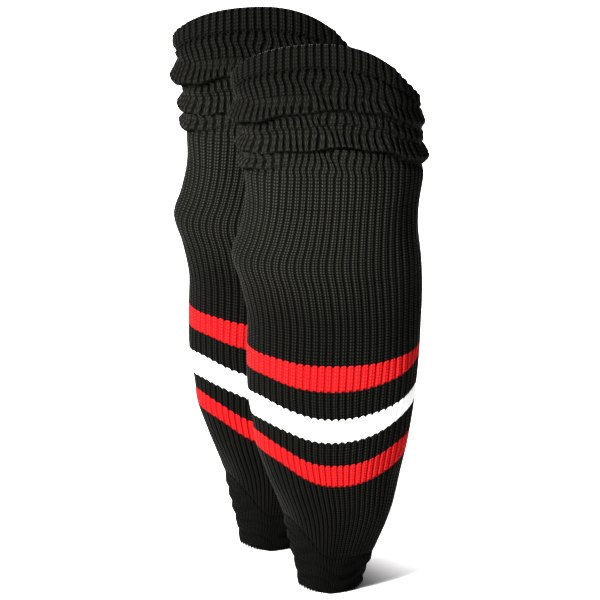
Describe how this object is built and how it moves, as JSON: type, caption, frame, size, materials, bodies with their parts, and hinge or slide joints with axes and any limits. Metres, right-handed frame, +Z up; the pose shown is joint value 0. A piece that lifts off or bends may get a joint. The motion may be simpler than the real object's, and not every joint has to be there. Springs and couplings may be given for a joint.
{
  "type": "hockey shin guards",
  "caption": "Pair of ice hockey shin guards inside rib-knit striped socks: plastic shin shell, knee cap and thigh plate on foam, hinged at the knee.",
  "frame": {"origin": "centre of the pair's box, on the floor under the ankle hems", "axes": "+Z up the leg, -Y out of the guards' fronts, +X towards the wearer's left"},
  "size_m": [0.2654, 0.29, 0.6041],
  "materials": {
    "knit_black": "chunky rib-knit black yarn",
    "knit_red": "chunky rib-knit red yarn",
    "knit_white": "chunky rib-knit white yarn",
    "guard_shell": "moulded satin plastic",
    "liner_fabric": "brushed mesh over foam",
    "strap_elastic": "ribbed woven elastic",
    "hook_tape": "hook-and-loop tape",
    "anchor_plastic": "moulded plate",
    "rivet_metal": "plated steel rivets"
  },
  "bodies": {
    "left_shin": {"left_sock_ankle_hem": "knit_black", "left_sock_lower_knit": "knit_black", "left_sock_red_stripes": "knit_red", "left_sock_black_bands": "knit_black", "left_sock_white_stripe": "knit_white", "left_sock_shin_knit": "knit_black", "left_sock_knee_fold": "knit_black", "left_shin_shell": "guard_shell", "left_shin_liner": "liner_fabric", "left_calf_wing_outer": "liner_fabric", "left_calf_wing_inner": "liner_fabric", "left_lower_strap": "strap_elastic", "left_upper_strap": "strap_elastic", "left_strap_hook_tabs": "hook_tape", "left_strap_anchors": "anchor_plastic", "left_anchor_rivets": "rivet_metal", "left_knee_pivot_pins": "rivet_metal"},
    "left_knee_cap": {"left_sock_knee_knit": "knit_black", "left_sock_thigh_fold": "knit_black", "left_knee_cap": "guard_shell", "left_knee_pad": "liner_fabric"},
    "left_thigh": {"left_sock_thigh_knit": "knit_black", "left_sock_top_hem": "knit_black", "left_thigh_plate": "guard_shell", "left_thigh_pad": "liner_fabric", "left_thigh_pivot_pins": "rivet_metal"},
    "right_shin": {"right_sock_ankle_hem": "knit_black", "right_sock_lower_knit": "knit_black", "right_sock_red_stripes": "knit_red", "right_sock_black_bands": "knit_black", "right_sock_white_stripe": "knit_white", "right_sock_shin_knit": "knit_black", "right_sock_knee_fold": "knit_black", "right_shin_shell": "guard_shell", "right_shin_liner": "liner_fabric", "right_calf_wing_outer": "liner_fabric", "right_calf_wing_inner": "liner_fabric", "right_lower_strap": "strap_elastic", "right_upper_strap": "strap_elastic", "right_strap_hook_tabs": "hook_tape", "right_strap_anchors": "anchor_plastic", "right_anchor_rivets": "rivet_metal", "right_knee_pivot_pins": "rivet_metal"},
    "right_knee_cap": {"right_sock_knee_knit": "knit_black", "right_sock_thigh_fold": "knit_black", "right_knee_cap": "guard_shell", "right_knee_pad": "liner_fabric"},
    "right_thigh": {"right_sock_thigh_knit": "knit_black", "right_sock_top_hem": "knit_black", "right_thigh_plate": "guard_shell", "right_thigh_pad": "liner_fabric", "right_thigh_pivot_pins": "rivet_metal"}
  },
  "joints": [
    {"name": "pair_spread", "type": "slide", "parent": "left_shin", "child": "right_shin", "axis": [0, 1, 0], "range_m": [0, 0.15]},
    {"name": "left_knee_hinge", "type": "hinge", "parent": "left_shin", "child": "left_knee_cap", "pos_m": [0.0317, -0.083, 0.383], "axis": [-1, 0, 0], "range_deg": [0, 12], "deforming": ["left_sock_knee_fold"]},
    {"name": "left_thigh_hinge", "type": "hinge", "parent": "left_knee_cap", "child": "left_thigh", "pos_m": [0.0317, -0.083, 0.48], "axis": [-1, 0, 0], "range_deg": [0, 25], "deforming": ["left_sock_thigh_fold"]},
    {"name": "right_knee_hinge", "type": "hinge", "parent": "right_shin", "child": "right_knee_cap", "pos_m": [-0.0317, 0.083, 0.383], "axis": [-1, 0, 0], "range_deg": [0, 12], "deforming": ["right_sock_knee_fold"]},
    {"name": "right_thigh_hinge", "type": "hinge", "parent": "right_knee_cap", "child": "right_thigh", "pos_m": [-0.0317, 0.083, 0.48], "axis": [-1, 0, 0], "range_deg": [0, 25], "deforming": ["right_sock_thigh_fold"]}
  ]
}
